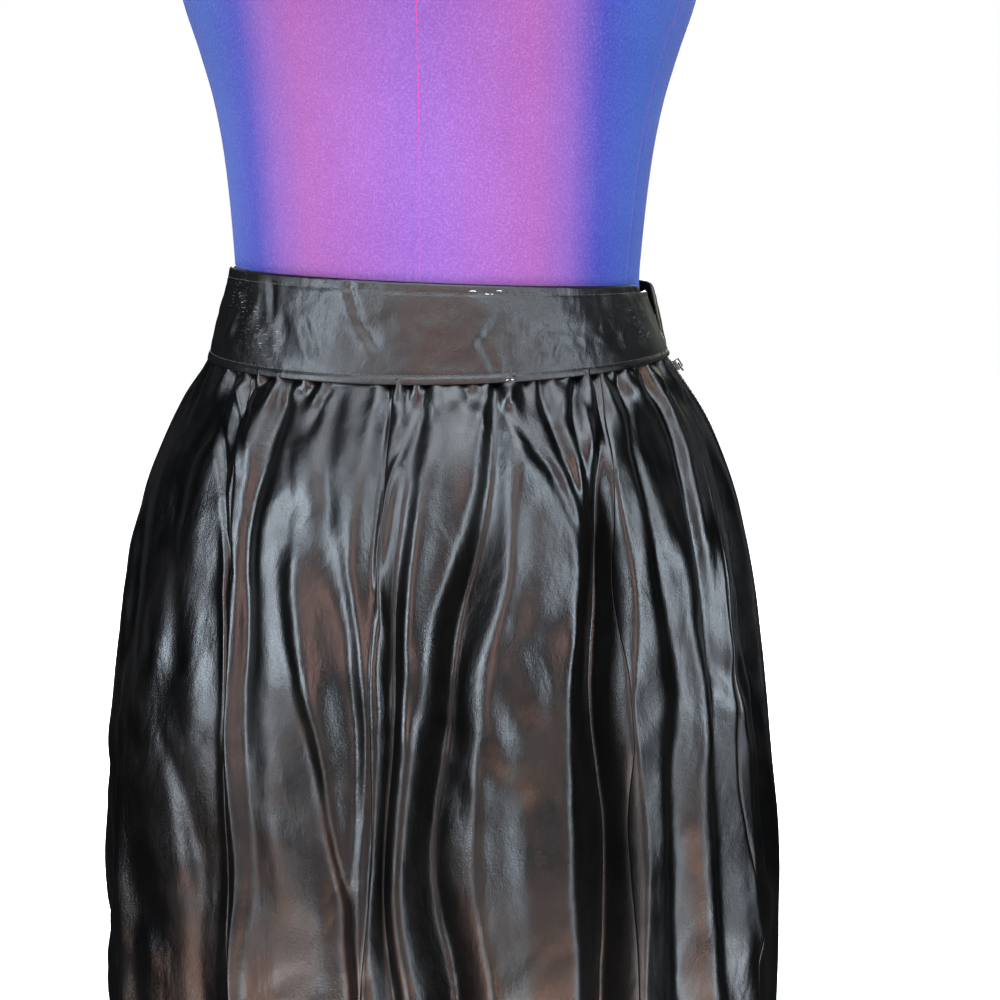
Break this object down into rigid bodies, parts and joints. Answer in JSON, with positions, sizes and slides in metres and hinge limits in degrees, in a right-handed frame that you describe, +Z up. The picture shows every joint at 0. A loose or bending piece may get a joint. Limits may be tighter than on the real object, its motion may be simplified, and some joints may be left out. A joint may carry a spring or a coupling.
{
  "type": "maxi skirt on a dress form",
  "caption": "Long gathered satin skirt with a wide waistband and a side zip, worn by a limbless dress form on a weighted stand.",
  "frame": {"origin": "middle of the stand's foot, on the surface it stands on", "axes": "+Z up the pole towards the neck, -Y towards the front of the skirt, +X towards the wearer's left"},
  "size_m": [0.5116, 0.484, 1.5392],
  "materials": {
    "satin": "black satin, soft grey sheen, creased",
    "zip_tape": "black woven tape",
    "metal": "dark plated metal",
    "jersey": "brushed stretch jersey, magenta in the middle to blue at the sides",
    "cap_wood": "varnished turned wood",
    "pole_enamel": "black enamel",
    "foot_enamel": "black enamel over a casting"
  },
  "bodies": {
    "dressed_form": {"panel_side_right": "satin", "panel_front_right": "satin", "panel_front_left": "satin", "panel_side_left": "satin", "panel_closure_left": "satin", "panel_back_left": "satin", "panel_back_centre": "satin", "panel_back_right": "satin", "waistband": "satin", "zip_tape": "zip_tape", "waist_hook": "metal", "waist_bar": "metal", "zip_slider": "metal", "form_torso": "jersey", "form_neck_cap": "cap_wood", "stand_pole": "pole_enamel", "stand_foot": "foot_enamel"},
    "zip_ring": {"zip_pull": "metal"}
  },
  "joints": [
    {"name": "zip_ring_swing", "type": "hinge", "parent": "dressed_form", "child": "zip_ring", "pos_m": [0.14593, 0.00407, 0.98658], "axis": [0.0461, -0.9989, 0], "range_deg": [0, 150]}
  ]
}
